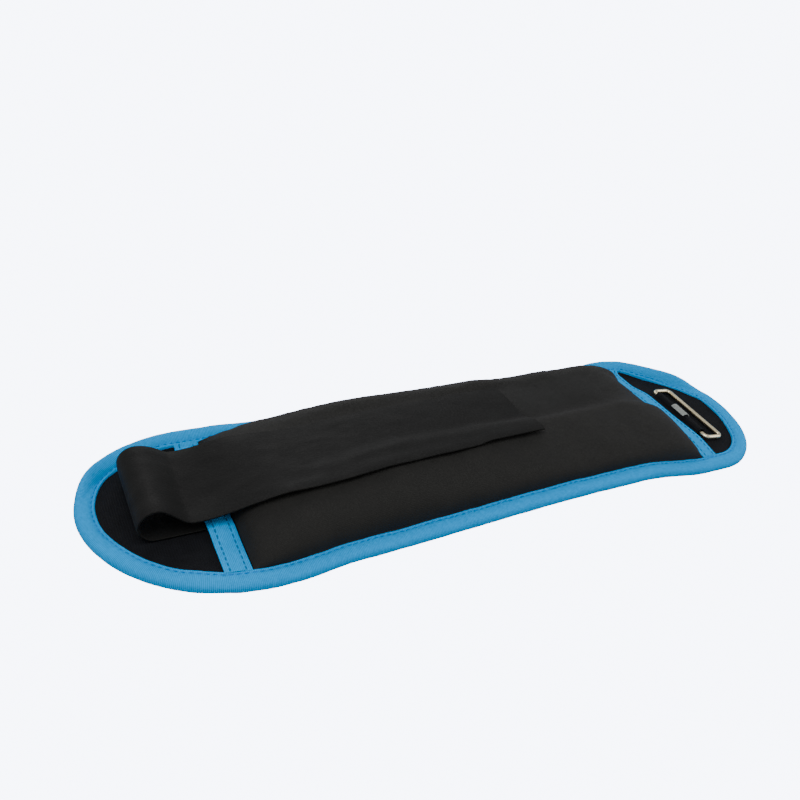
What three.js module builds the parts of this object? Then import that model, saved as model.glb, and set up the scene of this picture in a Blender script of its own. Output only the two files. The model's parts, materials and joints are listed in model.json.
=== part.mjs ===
// Ankle cuff weight, laid out flat with its outer face up.
// Five pouches of iron shot lie side by side between a domed outer cover and a flat inner panel.
// Folded binding tape runs round the whole edge, a tongue and a ring flap close the two ends, and a
// long strap sewn to the tongue folds back over the pouches. Units are millimetres and +Z is up. The
// origin is the middle of the footprint, on the surface that the cuff lies on.
// Fabric is cut at the fold lines, so that each stretch is a rigid piece that turns about its fold.

import * as THREE from "three";

// Plan of the cuff.
const HALF_LENGTH = 189;
const HALF_WIDTH = 56;
const LEFT_ARC_START = -131;
const RIGHT_ARC_START = 149;
const FRONT_ARC_POWERS = { left: 1.93, right: 2.2 };
const BACK_ARC_POWERS = { left: 1.89, right: 1.5 };
const TONGUE_SKEW = 6.5;
const TONGUE_SKEW_FROM = -133;
const FRONT_SPREAD = 3;

// Fold lines: six across the cuff, five pouches between them.
const POUCHES = 5;
const FIRST_FOLD = -125;
const LAST_FOLD = 137;
const FOLD_PITCH = (LAST_FOLD - FIRST_FOLD) / POUCHES;
const FLAP_FOLD_HEIGHT = 6;
const POUCH_FOLD_HEIGHT = 12;
const HALF_BEND = THREE.MathUtils.degToRad(23);
const HALF_SPLIT = 0.15;

// Seam that joins cover and panel. It lies low, apart from the front edge towards the right.
const FLAP_SEAM = 3.4;
const LIFTED_SEAM = 9.4;
const SEAM_RISE_FROM = -95;
const SEAM_RISE_LENGTH = 155;
const SEAM_FALL_LENGTH = 50;
const SEAM_TILT_WIDTH = 90;

// Cover, panel and flap sheets.
const BODY_HALF_WIDTH = 47;
const FLANGE_HALF_WIDTH = 52.5;
const SHEET = 1.6;
const SEAM_GAP = 0.15;
const COVER_EXTRA = 0.9;
const PANEL_EXTRA = 0.2;
const PANEL_FLAT_HALF_WIDTH = 32;
const DOME_POWER = 3;

// Crown of the dome, along the cuff.
const LOW_CROWN = 21;
const HIGH_CROWN = 26.4;
const CROWN_RISE_FROM = -110;
const CROWN_RISE_LENGTH = 65;
const END_ROUND = 34;
const BACK_DROP = 2.4;
const DENT = 1.6;
const DENT_FROM = 34;
const DENT_TO = 128;

// Shot pouches.
const POUCH_HALF_WIDTH = 43.4;
const POUCH_CLOTH = 0.8;
const POUCH_CLEARANCE = 0.4;
const POUCH_SETTLED = 2.4;
const POUCH_SETTLED_FROM = -15;
const POUCH_INSET = 1;
const POUCH_END_INSET = 9;
const POUCH_SEAM_OPENING = 0.08;
const FILL_INSET = 1.2;
const FILL_CLEARANCE = 1;

// Binding tape.
const BIND_HALF_WIDTH = 4.5;
const BIND_HALF_HEIGHT = 3.2;
const BIND_SLOT_DEPTH = 3.3;
const BIND_SLOT_HALF_HEIGHT = 1.95;
const BIND_POWER = 2.6;
const BIND_END_GAP = 2.75;

// Cross tapes at the two ends of the pouches.
const TAPE = 1.2;
const TAPE_CLEARANCE = 0.3;
const TAPE_HALF_LENGTH = 45.8;
const LEFT_TAPE_EDGE = -137;
const RIGHT_TAPE_EDGE = 146.8;
const HUMP_RAMP = 12;

// Strap.
const STRAP_WIDTH = 47.5;
const STRAP = 1.5;
const STRAP_ROOT_END = -128.5;
const STRAP_TIP = 37;
const STRAP_MIDDLE_LEFT = 4;
const STRAP_MIDDLE_LOW = -3;
const STRAP_MIDDLE_RIGHT = -0.4;
const STRAP_LOW_X = -80;
const STRAP_FOLD_X = -158.4;
const STRAP_LOWER_HEIGHT = 6.2;
const STRAP_UPPER_HEIGHT = 22;
const STRAP_DIP_X = -143;
const STRAP_DIP_HEIGHT = 11.4;
const STRAP_BRIDGE_END = -98;
const STRAP_BRIDGE_HEIGHT = 22.3;
const STRAP_CLEARANCE = 0.45;
const STRAP_JOINT_ARC = THREE.MathUtils.degToRad(10);
const HOOK_PATCH = 1.3;
const HOOK_PATCH_START = 8;
const HOOK_PATCH_END = 34;

// Wire ring and the tab that holds it.
const WIRE_RADIUS = 1.3;
const RING_LENGTH = 49.6;
const RING_DEPTH = 12;
const RING_CORNER = 3;
const RING_X = 152.4;
const RING_Y = -9.5;
const RING_YAW = THREE.MathUtils.degToRad(-3.5);
const TAB_WIDTH = 40;
const TAB = 0.8;
const TAB_WIRE_GAP = 0.35;
const TAB_TAIL_X = 140;
const LABEL_WIDTH = 11;
const LABEL = 0.6;

const neoprene = { color: 0x262624, roughness: 0.9, metalness: 0 };
const darkKnit = { color: 0x16171a, roughness: 0.95, metalness: 0 };
const blueTape = { color: 0x4aa6d0, roughness: 0.75, metalness: 0 };
const strapCloth = { color: 0x2b2b2a, roughness: 0.8, metalness: 0 };
const pouchCloth = { color: 0x5a5f66, roughness: 0.85, metalness: 0 };
const ironShot = { color: 0x6b6864, roughness: 0.6, metalness: 0.8 };
const steelWire = { color: 0xc9c1ae, roughness: 0.3, metalness: 1 };
const greyRibbon = { color: 0x9aa0a3, roughness: 0.7, metalness: 0 };
const hookNylon = { color: 0x1b1b1c, roughness: 0.6, metalness: 0 };

const cuff = new THREE.Group();

function addNode(name, geometry, finish) {
  const mesh = new THREE.Mesh(geometry, new THREE.MeshStandardMaterial(finish));
  mesh.name = name;
  cuff.add(mesh);
}

function mix(a, b, t) {
  return a + (b - a) * t;
}

function ease(t) {
  const u = Math.min(1, Math.max(0, t));
  return u * u * (3 - 2 * u);
}

// A closed sheet: a grid of points on its upper side, the same grid on its lower side, and a rim.
// Rows run along the sheet and columns across it, so that row x column points out of the upper side.
function thickSheet(rows, columns, upper, lower) {
  const points = [];
  for (const side of [upper, lower]) {
    for (let row = 0; row <= rows; row += 1) {
      for (let column = 0; column <= columns; column += 1) {
        points.push(...side(row, column));
      }
    }
  }
  const layer = (rows + 1) * (columns + 1);
  const top = (row, column) => row * (columns + 1) + column;
  const base = (row, column) => layer + top(row, column);
  const faces = [];
  const quad = (a, b, c, d) => faces.push(a, b, c, a, c, d);
  for (let row = 0; row < rows; row += 1) {
    const next = row + 1;
    for (let column = 0; column < columns; column += 1) {
      const beside = column + 1;
      quad(top(row, column), top(next, column), top(next, beside), top(row, beside));
      quad(base(row, column), base(row, beside), base(next, beside), base(next, column));
    }
    quad(top(row, 0), base(row, 0), base(next, 0), top(next, 0));
    quad(top(row, columns), top(next, columns), base(next, columns), base(row, columns));
  }
  for (let column = 0; column < columns; column += 1) {
    const beside = column + 1;
    quad(top(0, column), top(0, beside), base(0, beside), base(0, column));
    quad(top(rows, column), base(rows, column), base(rows, beside), top(rows, beside));
  }
  const geometry = new THREE.BufferGeometry();
  geometry.setAttribute("position", new THREE.Float32BufferAttribute(points, 3));
  geometry.setIndex(faces);
  geometry.computeVertexNormals();
  return geometry;
}

// Half of a superellipse, from -1 to 1 as turn goes from 0 to 1, with its height from 0 to 1 to 0.
function superArc(turn, power) {
  const angle = Math.PI * (1 - turn);
  const across = Math.cos(angle);
  const exponent = 2 / power;
  return [
    Math.sign(across) * Math.abs(across) ** exponent,
    Math.abs(Math.sin(angle)) ** exponent,
  ];
}

// Shape of the cuff along its length.
const foldX = (fold) => FIRST_FOLD + FOLD_PITCH * fold;
const foldHeight = (fold) => (fold === 0 || fold === POUCHES ? FLAP_FOLD_HEIGHT : POUCH_FOLD_HEIGHT);

function seamHeight(x, y) {
  const along = ease((x - SEAM_RISE_FROM) / SEAM_RISE_LENGTH) * ease((LAST_FOLD - x) / SEAM_FALL_LENGTH);
  return mix(FLAP_SEAM, LIFTED_SEAM, along * ease(0.5 - y / SEAM_TILT_WIDTH));
}

// Height of the crown, which is lower at the back of the left end and pressed in beyond the strap.
function crownHeight(x, y) {
  const full = mix(LOW_CROWN, HIGH_CROWN, ease((x - CROWN_RISE_FROM) / CROWN_RISE_LENGTH));
  const slope = BACK_DROP * ease((y - 5) / 40) * ease((-60 - x) / 50);
  const dent = DENT * ease((x - DENT_FROM) / 12) * ease((DENT_TO - x) / 20) * ease((y + 14) / 14);
  const fromEnd = Math.min(1, Math.max(0, Math.min(x - FIRST_FOLD, LAST_FOLD - x) / END_ROUND));
  const foot = seamHeight(x, y) + SEAM_GAP + SHEET;
  return mix(foot, full - slope - dent, Math.sqrt(1 - (1 - fromEnd) ** 2));
}

function coverHeight(x, y) {
  const foot = seamHeight(x, y) + SEAM_GAP + SHEET;
  const across = Math.min(1, Math.abs(y) / BODY_HALF_WIDTH);
  return mix(foot, crownHeight(x, y), (1 - across ** DOME_POWER) ** (1 / DOME_POWER));
}

// How far the loaded cloth has crept forwards at the front edge, beside the tongue.
function spread(x, y) {
  const along = ease((x - FIRST_FOLD) / 12) * ease((-85 - x) / 25);
  return FRONT_SPREAD * along * ease((-y - 15) / 35);
}

// End face of a rigid stretch beside a fold: upright above the fold's axis, and sloped back below it,
// so that two neighbours close face to face when the cuff is wrapped.
function endFace(fold, side, z, inset) {
  const slope = Math.max(0, foldHeight(fold) - z) * Math.tan(HALF_BEND);
  return foldX(fold) + side * (HALF_SPLIT + inset + slope);
}

function pouchPoint(pouch, along, y, z, insets) {
  const left = endFace(pouch, 1, z, insets[0]);
  const right = endFace(pouch + 1, -1, z, insets[1]);
  return [mix(left, right, along), y - spread(foldX(pouch + along), y), z];
}

function endInsets(pouch, inner, outer) {
  return [pouch === 0 ? outer : inner, pouch === POUCHES - 1 ? outer : inner];
}

function addCover(pouch, rows) {
  const dome = 16;
  const shape = (half, foot, lift) => (row, column) => {
    const along = row / rows;
    const x = foldX(pouch + along);
    const flange = column === 0 || column === dome + 2;
    const side = column === 0 ? -1 : 1;
    const [across, rise] = superArc((column - 1) / dome, DOME_POWER);
    const y = flange ? side * FLANGE_HALF_WIDTH : across * half;
    const seam = seamHeight(x, y);
    const full = Math.max(0, crownHeight(x, y) - (seam + SEAM_GAP + SHEET) - lift);
    const z = seam + foot + (flange ? 0 : rise * full);
    return pouchPoint(pouch, along, y, z, [0, 0]);
  };
  const outer = shape(BODY_HALF_WIDTH, SEAM_GAP + SHEET, 0);
  const inner = shape(BODY_HALF_WIDTH - SHEET - COVER_EXTRA, SEAM_GAP, COVER_EXTRA);
  addNode(`outer_cover_${pouch + 1}`, thickSheet(rows, dome + 2, outer, inner), neoprene);
}

// Across the panel: flange, a rounded side, the flat face that lies on the limb, and back up again.
function addPanel(pouch, rows) {
  const side = 5;
  const columns = 2 * side + 3;
  const shape = (half, foot, depthLost) => (row, column) => {
    const along = row / rows;
    const fromEdge = Math.min(column, columns - column);
    const sign = column < columns - column ? -1 : 1;
    const turn = (0.5 * Math.PI * (fromEdge - 1)) / side;
    const y = sign * (fromEdge === 0 ? FLANGE_HALF_WIDTH : mix(PANEL_FLAT_HALF_WIDTH, half, Math.cos(turn)));
    const seam = seamHeight(foldX(pouch + along), y);
    const depth = Math.max(0, seam - SEAM_GAP - SHEET - depthLost);
    const z = seam - foot - (fromEdge === 0 ? 0 : depth * Math.sin(turn));
    return pouchPoint(pouch, along, y, z, [0, 0]);
  };
  const upper = shape(BODY_HALF_WIDTH - SHEET, SEAM_GAP, PANEL_EXTRA);
  const lower = shape(BODY_HALF_WIDTH, SEAM_GAP + SHEET, 0);
  addNode(`inner_panel_${pouch + 1}`, thickSheet(rows, columns, upper, lower), darkKnit);
}

// Height of the hollow between cover and panel, shrunk by a margin. Towards the right the shot has
// settled, and leaves the cover loose above it.
function hollow(x, y, margin) {
  const seam = seamHeight(x, y);
  const settled = POUCH_SETTLED * ease((x - POUCH_SETTLED_FROM) / 50);
  const rise = Math.max(0, crownHeight(x, y) - (seam + SEAM_GAP + SHEET) - COVER_EXTRA);
  const depth = Math.max(0, seam - SEAM_GAP - SHEET - PANEL_EXTRA);
  const top = seam + SEAM_GAP + Math.max(0, rise - settled) - margin;
  const bottom = seam - SEAM_GAP - depth + margin;
  return [bottom, top];
}

function roundedRing(x, half, margin, turn) {
  const upperSide = turn < 0.5;
  const [across, rise] = superArc(upperSide ? 1 - 2 * turn : 2 * turn - 1, DOME_POWER);
  const y = across * half;
  const [bottom, top] = hollow(x, y, margin);
  const middle = Math.min(top - 1, seamHeight(x, y));
  return [y, upperSide ? middle + (top - middle) * rise : middle - (middle - bottom) * rise];
}

// Pouch cloth, wrapped round its shot and open along one narrow seam at the back edge.
function addPouch(pouch, rows) {
  const columns = 16;
  const insets = endInsets(pouch, POUCH_INSET, POUCH_END_INSET);
  const shape = (half, margin) => (row, column) => {
    const along = 1 - row / rows;
    const x = mix(foldX(pouch) + insets[0], foldX(pouch + 1) - insets[1], along);
    const turn = mix(0.5 * POUCH_SEAM_OPENING, 1 - 0.5 * POUCH_SEAM_OPENING, column / columns);
    const [y, z] = roundedRing(x, half, margin, turn);
    return pouchPoint(pouch, along, y, z, insets);
  };
  const outer = shape(POUCH_HALF_WIDTH, POUCH_CLEARANCE);
  const inner = shape(POUCH_HALF_WIDTH - POUCH_CLOTH, POUCH_CLEARANCE + POUCH_CLOTH);
  addNode(`shot_pouch_${pouch + 1}`, thickSheet(rows, columns, outer, inner), pouchCloth);
}

function addFill(pouch, rows) {
  const columns = 10;
  const margin = POUCH_CLEARANCE + POUCH_CLOTH + FILL_CLEARANCE;
  const half = POUCH_HALF_WIDTH - POUCH_CLOTH - FILL_CLEARANCE;
  const insets = endInsets(pouch, POUCH_INSET + FILL_INSET, POUCH_END_INSET + FILL_INSET);
  const shape = (upperSide) => (row, column) => {
    const along = row / rows;
    const x = mix(foldX(pouch) + insets[0], foldX(pouch + 1) - insets[1], along);
    const turn = mix(0.02, 0.48, column / columns);
    const [y, z] = roundedRing(x, half, margin, upperSide ? 0.5 - turn : 0.5 + turn);
    return pouchPoint(pouch, along, y, z, insets);
  };
  addNode(`iron_shot_${pouch + 1}`, thickSheet(rows, columns, shape(true), shape(false)), ironShot);
}

// Binding section: from the lower inner edge, round the outside, to the upper inner edge.
const BIND_COLUMNS = 8;

function bindSection(column, depth, half) {
  if (column === 0 || column === BIND_COLUMNS) {
    return [-BIND_HALF_WIDTH, column === 0 ? -half : half];
  }
  const [height, outward] = superArc((column - 1) / (BIND_COLUMNS - 2), BIND_POWER);
  return [depth * outward, half * height];
}

function addSideBinding(pouch, side, name, rows) {
  const shape = (depth, half) => (row, column) => {
    const along = side < 0 ? row / rows : 1 - row / rows;
    const [outward, height] = bindSection(column, depth, half);
    const y = side * (HALF_WIDTH - BIND_HALF_WIDTH + outward);
    const z = seamHeight(foldX(pouch + along), side * HALF_WIDTH) + height;
    return pouchPoint(pouch, along, y, z, [0, 0]);
  };
  const outer = shape(BIND_HALF_WIDTH, BIND_HALF_HEIGHT);
  const inner = shape(BIND_SLOT_DEPTH, BIND_SLOT_HALF_HEIGHT);
  addNode(`${name}_${pouch + 1}`, thickSheet(rows, BIND_COLUMNS, outer, inner), blueTape);
}

// Rounded end outline, inset from the edge of the cuff: a straight run from the fold, then an arc.
// The tongue lies a little skew, towards the back.
function endOutline(end, inset, foldGap, steps) {
  const start = end < 0 ? LEFT_ARC_START : RIGHT_ARC_START;
  const fold = end < 0 ? FIRST_FOLD : LAST_FOLD;
  const reach = HALF_LENGTH - Math.abs(start) - inset;
  const half = HALF_WIDTH - inset;
  const points = [new THREE.Vector2(fold + end * foldGap, -end * half)];
  for (let step = 0; step <= steps; step += 1) {
    const atBack = end < 0 === 2 * step < steps;
    const powers = atBack ? BACK_ARC_POWERS : FRONT_ARC_POWERS;
    const [across, out] = superArc(step / steps, end < 0 ? powers.left : powers.right);
    const x = start + end * reach * out;
    const skew = Math.max(0, (TONGUE_SKEW_FROM - x) / (HALF_LENGTH + TONGUE_SKEW_FROM)) ** 1.1;
    points.push(new THREE.Vector2(x, end * across * half + TONGUE_SKEW * skew));
  }
  points.push(new THREE.Vector2(fold + end * foldGap, end * half));
  return points;
}

function addEndBinding(end, name) {
  const path = endOutline(end, BIND_HALF_WIDTH, BIND_END_GAP, 18);
  const rows = path.length - 1;
  const shape = (depth, half) => (row, column) => {
    const before = path[Math.max(0, row - 1)];
    const after = path[Math.min(rows, row + 1)];
    const way = after.clone().sub(before).normalize();
    const [outward, height] = bindSection(column, depth, half);
    return [path[row].x + way.y * outward, path[row].y - way.x * outward, FLAP_SEAM + height];
  };
  const outer = shape(BIND_HALF_WIDTH, BIND_HALF_HEIGHT);
  const inner = shape(BIND_SLOT_DEPTH, BIND_SLOT_HALF_HEIGHT);
  addNode(name, thickSheet(rows, BIND_COLUMNS, outer, inner), blueTape);
}

function addFlapSheet(end, name, bottom, foldGap, finish) {
  const outline = endOutline(end, HALF_WIDTH - FLANGE_HALF_WIDTH, foldGap, 24);
  const sheet = new THREE.ExtrudeGeometry(new THREE.Shape(outline), { depth: SHEET, bevelEnabled: false });
  addNode(name, sheet.translate(0, 0, bottom), finish);
}

const FLAP_TOP = FLAP_SEAM + SEAM_GAP + SHEET;
const TAPE_BOTTOM = FLAP_TOP + TAPE_CLEARANCE;

// Cross tape over the sewn end of the pouches, humped where something is sewn in under it.
function addCrossTape(name, from, to, humpMiddle, humpWidth, humpHeight) {
  const columns = 24;
  const shape = (lift) => (row, column) => {
    const x = row === 0 ? from : to;
    const y = mix(-TAPE_HALF_LENGTH, TAPE_HALF_LENGTH, column / columns);
    const beyond = Math.abs(y - humpMiddle) - humpWidth / 2;
    return [x, y, TAPE_BOTTOM + lift + humpHeight * (1 - ease((beyond - 1) / HUMP_RAMP))];
  };
  addNode(name, thickSheet(1, columns, shape(TAPE), shape(0)), blueTape);
}

// Strap: its middle line comes forward from the fold, then drifts back as it runs right.
function strapMiddle(x) {
  const forward = ease((x - STRAP_FOLD_X) / (STRAP_LOW_X - STRAP_FOLD_X));
  const back = ease((x - STRAP_LOW_X) / (STRAP_TIP - STRAP_LOW_X));
  return mix(mix(STRAP_MIDDLE_LEFT, STRAP_MIDDLE_LOW, forward), STRAP_MIDDLE_RIGHT, back);
}

const foldRadius = (STRAP_UPPER_HEIGHT - STRAP_LOWER_HEIGHT) / 2;
const foldCentreHeight = (STRAP_UPPER_HEIGHT + STRAP_LOWER_HEIGHT) / 2;

function softMax(a, b, softness) {
  return 0.5 * (a + b + Math.hypot(a - b, softness));
}

// Height of the strap's middle layer along its upper run: down from the fold to a dip, up again over
// the open air beside the first pouch, and then along the cover.
function runHeight(x, y) {
  const down = ease((x - STRAP_FOLD_X) / (STRAP_DIP_X - STRAP_FOLD_X));
  const up = ease((x - STRAP_DIP_X) / (STRAP_BRIDGE_END - STRAP_DIP_X));
  const dip = mix(STRAP_UPPER_HEIGHT, STRAP_DIP_HEIGHT, down);
  const free = mix(dip, STRAP_BRIDGE_HEIGHT, up);
  const patch = (HOOK_PATCH + TAPE_CLEARANCE) * ease((x - HOOK_PATCH_START + 12) / 10);
  const resting = coverHeight(Math.max(x, FIRST_FOLD), y) + STRAP_CLEARANCE + patch + STRAP / 2;
  return softMax(free, resting, 1.5 * up);
}

// A band along a path of [x, z, tangent x, tangent z], as wide as the strap, or narrower.
function band(path, width, thickness, middleAt, heightAt) {
  const columns = heightAt ? 8 : 4;
  const rows = path.length - 1;
  const shape = (side) => (row, column) => {
    const [x, z, tangentX, tangentZ] = path[row];
    const y = middleAt(x) + width * (column / columns - 0.5);
    const height = heightAt ? heightAt(x, y) : z;
    return [x - side * tangentZ * thickness / 2, y, height + side * tangentX * thickness / 2];
  };
  return thickSheet(rows, columns, shape(1), shape(-1));
}

function foldPath(fromAngle, toAngle, steps) {
  const path = [];
  for (let step = 0; step <= steps; step += 1) {
    const angle = mix(fromAngle, toAngle, step / steps);
    const x = STRAP_FOLD_X - foldRadius * Math.sin(angle);
    const z = foldCentreHeight - foldRadius * Math.cos(angle);
    path.push([x, z, -Math.cos(angle), Math.sin(angle)]);
  }
  return path;
}

function runPath(fromX, toX, steps) {
  const path = [];
  for (let step = 0; step <= steps; step += 1) {
    const x = mix(fromX, toX, step / steps);
    path.push([x, runHeight(x, strapMiddle(x)), 1, 0]);
  }
  return path;
}

function addStrap() {
  const quarter = Math.PI / 4;
  const gap = STRAP_JOINT_ARC;
  const rootStart = [STRAP_ROOT_END, STRAP_LOWER_HEIGHT, -1, 0];
  const root = [rootStart, ...foldPath(0, quarter - gap, 3)];
  const fixedMiddle = () => STRAP_MIDDLE_LEFT;
  addNode("strap_root", band(root, STRAP_WIDTH, STRAP, fixedMiddle), strapCloth);
  const bend = foldPath(quarter + gap, 3 * quarter - gap, 5);
  addNode("strap_fold", band(bend, STRAP_WIDTH, STRAP, fixedMiddle), strapCloth);
  const firstRun = [
    ...foldPath(3 * quarter + gap, 4 * quarter, 3),
    ...runPath(STRAP_FOLD_X, FIRST_FOLD - HALF_SPLIT, 8).slice(1),
  ];
  addNode("strap_run_1", band(firstRun, STRAP_WIDTH, STRAP, strapMiddle), strapCloth);
  for (let run = 0; run < 3; run += 1) {
    const from = foldX(run) + HALF_SPLIT;
    const to = run === 2 ? STRAP_TIP : foldX(run + 1) - HALF_SPLIT;
    const path = runPath(from, to, run === 0 ? 10 : 8);
    addNode(`strap_run_${run + 2}`, band(path, STRAP_WIDTH, STRAP, strapMiddle, runHeight), strapCloth);
  }
  const under = (x, y) => runHeight(x, y) - STRAP / 2 - TAPE_CLEARANCE - HOOK_PATCH / 2;
  const patch = runPath(HOOK_PATCH_START, HOOK_PATCH_END, 4);
  addNode("hook_patch", band(patch, STRAP_WIDTH - 4, HOOK_PATCH, strapMiddle, under), hookNylon);
}

// Ring tab: a lower ply on the flap, a loop round the wire, and an upper ply back under the tape.
const tabLowerHeight = TAPE_BOTTOM + TAB / 2;
const tabRadius = WIRE_RADIUS + TAB_WIRE_GAP + TAB / 2;
const wireHeight = tabLowerHeight + tabRadius;
const tabUpperHeight = tabLowerHeight + TAB + TAPE_CLEARANCE;

function loopPath(radius, fromAngle, toAngle, steps) {
  const path = [];
  for (let step = 0; step <= steps; step += 1) {
    const angle = mix(fromAngle, toAngle, step / steps);
    const ahead = Math.cos(angle);
    const upward = Math.sin(angle);
    path.push([radius * upward, wireHeight - radius * ahead, ahead, upward]);
  }
  return path;
}

function placedBand(path, width, thickness) {
  const rows = path.length - 1;
  const shape = (side) => (row, column) => {
    const [x, z, tangentX, tangentZ] = path[row];
    return [x - side * tangentZ * thickness / 2, (column - 0.5) * width, z + side * tangentX * thickness / 2];
  };
  return thickSheet(rows, 1, shape(1), shape(-1)).rotateZ(RING_YAW).translate(RING_X, RING_Y, 0);
}

function addRing() {
  const tail = TAB_TAIL_X - RING_X;
  const path = [
    [tail, tabLowerHeight, 1, 0],
    ...loopPath(tabRadius, 0, Math.PI * 1.5, 12),
    [-3.4, tabUpperHeight + 0.15, -0.92, -0.39],
    [tail + 2, tabUpperHeight, -1, 0],
  ];
  addNode("ring_tab", placedBand(path, TAB_WIDTH, TAB), darkKnit);
  const ribbonRadius = tabRadius + TAB / 2 + TAPE_CLEARANCE + LABEL / 2;
  const ribbon = [
    ...loopPath(ribbonRadius, Math.PI * 0.42, Math.PI * 1.25, 8),
    [-3.6, tabUpperHeight + 1.35, -0.95, -0.31],
    [-5, tabUpperHeight + 1.15, -1, 0],
  ];
  addNode("ring_tab_label", placedBand(ribbon, LABEL_WIDTH, LABEL), greyRibbon);

  const loop = new THREE.Path();
  const corner = RING_CORNER;
  const half = RING_LENGTH / 2;
  loop.moveTo(corner, -half);
  loop.absarc(RING_DEPTH - corner, corner - half, corner, -Math.PI / 2, 0, false);
  loop.absarc(RING_DEPTH - corner, half - corner, corner, 0, Math.PI / 2, false);
  loop.absarc(corner, half - corner, corner, Math.PI / 2, Math.PI, false);
  loop.absarc(corner, corner - half, corner, Math.PI, Math.PI * 1.5, false);
  const knots = loop.getSpacedPoints(96).slice(0, -1);
  const wirePath = new THREE.CatmullRomCurve3(knots.map((p) => new THREE.Vector3(p.x, p.y, 0)), true);
  const restingHeight = FLAP_TOP + TAPE_CLEARANCE + WIRE_RADIUS;
  const tilt = Math.asin((wireHeight - restingHeight) / RING_DEPTH);
  const wire = new THREE.TubeGeometry(wirePath, 48, WIRE_RADIUS, 7, true);
  addNode("wire_ring", wire.rotateY(tilt).rotateZ(RING_YAW).translate(RING_X, RING_Y, wireHeight), steelWire);
}

for (let pouch = 0; pouch < POUCHES; pouch += 1) {
  const rows = pouch === 0 || pouch === POUCHES - 1 ? 6 : 3;
  addCover(pouch, rows);
  addPanel(pouch, rows);
  addPouch(pouch, rows);
  addFill(pouch, rows);
  addSideBinding(pouch, -1, "binding_front", rows);
  addSideBinding(pouch, 1, "binding_back", rows);
}

addFlapSheet(-1, "tongue_cover", FLAP_SEAM + SEAM_GAP, 1.2, darkKnit);
addFlapSheet(-1, "tongue_lining", FLAP_SEAM - SEAM_GAP - SHEET, 2.3, darkKnit);
addFlapSheet(1, "ring_flap_cover", FLAP_SEAM + SEAM_GAP, 1.2, darkKnit);
addFlapSheet(1, "ring_flap_lining", FLAP_SEAM - SEAM_GAP - SHEET, 2.3, darkKnit);
addEndBinding(-1, "binding_left_end");
addEndBinding(1, "binding_right_end");

const strapHump = STRAP_LOWER_HEIGHT + STRAP / 2 + TAPE_CLEARANCE - TAPE_BOTTOM;
const leftTapeEnd = FIRST_FOLD - TAPE_CLEARANCE;
addCrossTape("left_cross_tape", LEFT_TAPE_EDGE, leftTapeEnd, STRAP_MIDDLE_LEFT, STRAP_WIDTH, strapHump);
const tabHump = tabUpperHeight + TAB / 2 + TAPE_CLEARANCE - TAPE_BOTTOM + 0.3;
addCrossTape("right_cross_tape", LAST_FOLD + TAPE_CLEARANCE, RIGHT_TAPE_EDGE, RING_Y, TAB_WIDTH + 2, tabHump);

addStrap();
addRing();

export default cuff;
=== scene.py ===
"""Ankle cuff weight, flat with its outer face up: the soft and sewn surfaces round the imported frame."""

import json
import math

import bpy
import numpy as np
from mathutils import Matrix, Vector


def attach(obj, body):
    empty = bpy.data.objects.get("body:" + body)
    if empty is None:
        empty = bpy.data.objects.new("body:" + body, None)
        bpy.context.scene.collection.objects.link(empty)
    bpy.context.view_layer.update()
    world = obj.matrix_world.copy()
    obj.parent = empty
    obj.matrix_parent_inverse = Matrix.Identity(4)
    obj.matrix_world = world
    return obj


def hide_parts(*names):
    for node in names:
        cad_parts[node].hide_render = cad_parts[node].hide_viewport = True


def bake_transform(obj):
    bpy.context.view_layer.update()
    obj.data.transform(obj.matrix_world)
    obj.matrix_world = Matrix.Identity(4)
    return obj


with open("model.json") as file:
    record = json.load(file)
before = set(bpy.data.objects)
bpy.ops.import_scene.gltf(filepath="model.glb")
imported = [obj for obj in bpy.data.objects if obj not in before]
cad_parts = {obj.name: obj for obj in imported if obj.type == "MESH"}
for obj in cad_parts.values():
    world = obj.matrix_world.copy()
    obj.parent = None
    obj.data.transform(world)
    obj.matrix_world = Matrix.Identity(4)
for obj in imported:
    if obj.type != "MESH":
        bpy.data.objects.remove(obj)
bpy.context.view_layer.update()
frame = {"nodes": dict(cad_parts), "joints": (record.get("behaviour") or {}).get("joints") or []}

MM = 0.001

# The lengths in these constants are in millimetres, with X along the cuff and Y towards its far edge.
# Frame: fold lines and outline.
JOINTS = {joint["name"]: joint for joint in frame["joints"]}


def fold_of(joint):
    x, _, z = JOINTS[joint]["pos_m"]
    return x / MM, z / MM


FOLD_JOINTS = ["wrap_fold_left", "wrap_fold_2_1", "wrap_fold"]
FOLD_JOINTS += ["wrap_fold_3_4", "wrap_fold_4_5", "wrap_fold_right"]
FOLDS = [fold_of(name) for name in FOLD_JOINTS]
FIRST_FOLD = FOLDS[0][0]
LAST_FOLD = FOLDS[-1][0]
PITCH = FOLDS[1][0] - FIRST_FOLD
HALF_LENGTH = 189
HALF_WIDTH = 56
LEFT_ARC_START = -131
RIGHT_ARC_START = 149
LEFT_ARC_POWERS = (1.93, 1.89)
RIGHT_ARC_POWERS = (2.2, 1.42)
TONGUE_SKEW = 6.5
TONGUE_SKEW_FROM = -133
FAR_EDGE_CURL = math.radians(29)
CURLED_WIDTH = 12
LEFT_CORNER_DRAWN_IN = 4
RIGHT_CORNER_NARROWING = 0.18
TIP_LIFT = 2.5
TIP_LIFT_FROM = 160
FRONT_SPREAD = 3
LEFT_FLAP_TIP = -184.6
RIGHT_FLAP_TIP = 184.4
LEFT_TAPE_EDGE = -137
RIGHT_TAPE_EDGE = 146.8
POUCH_REACH = 21
FLAP_REACH = 7
TONGUE_STRAP_REACH = 10

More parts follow.
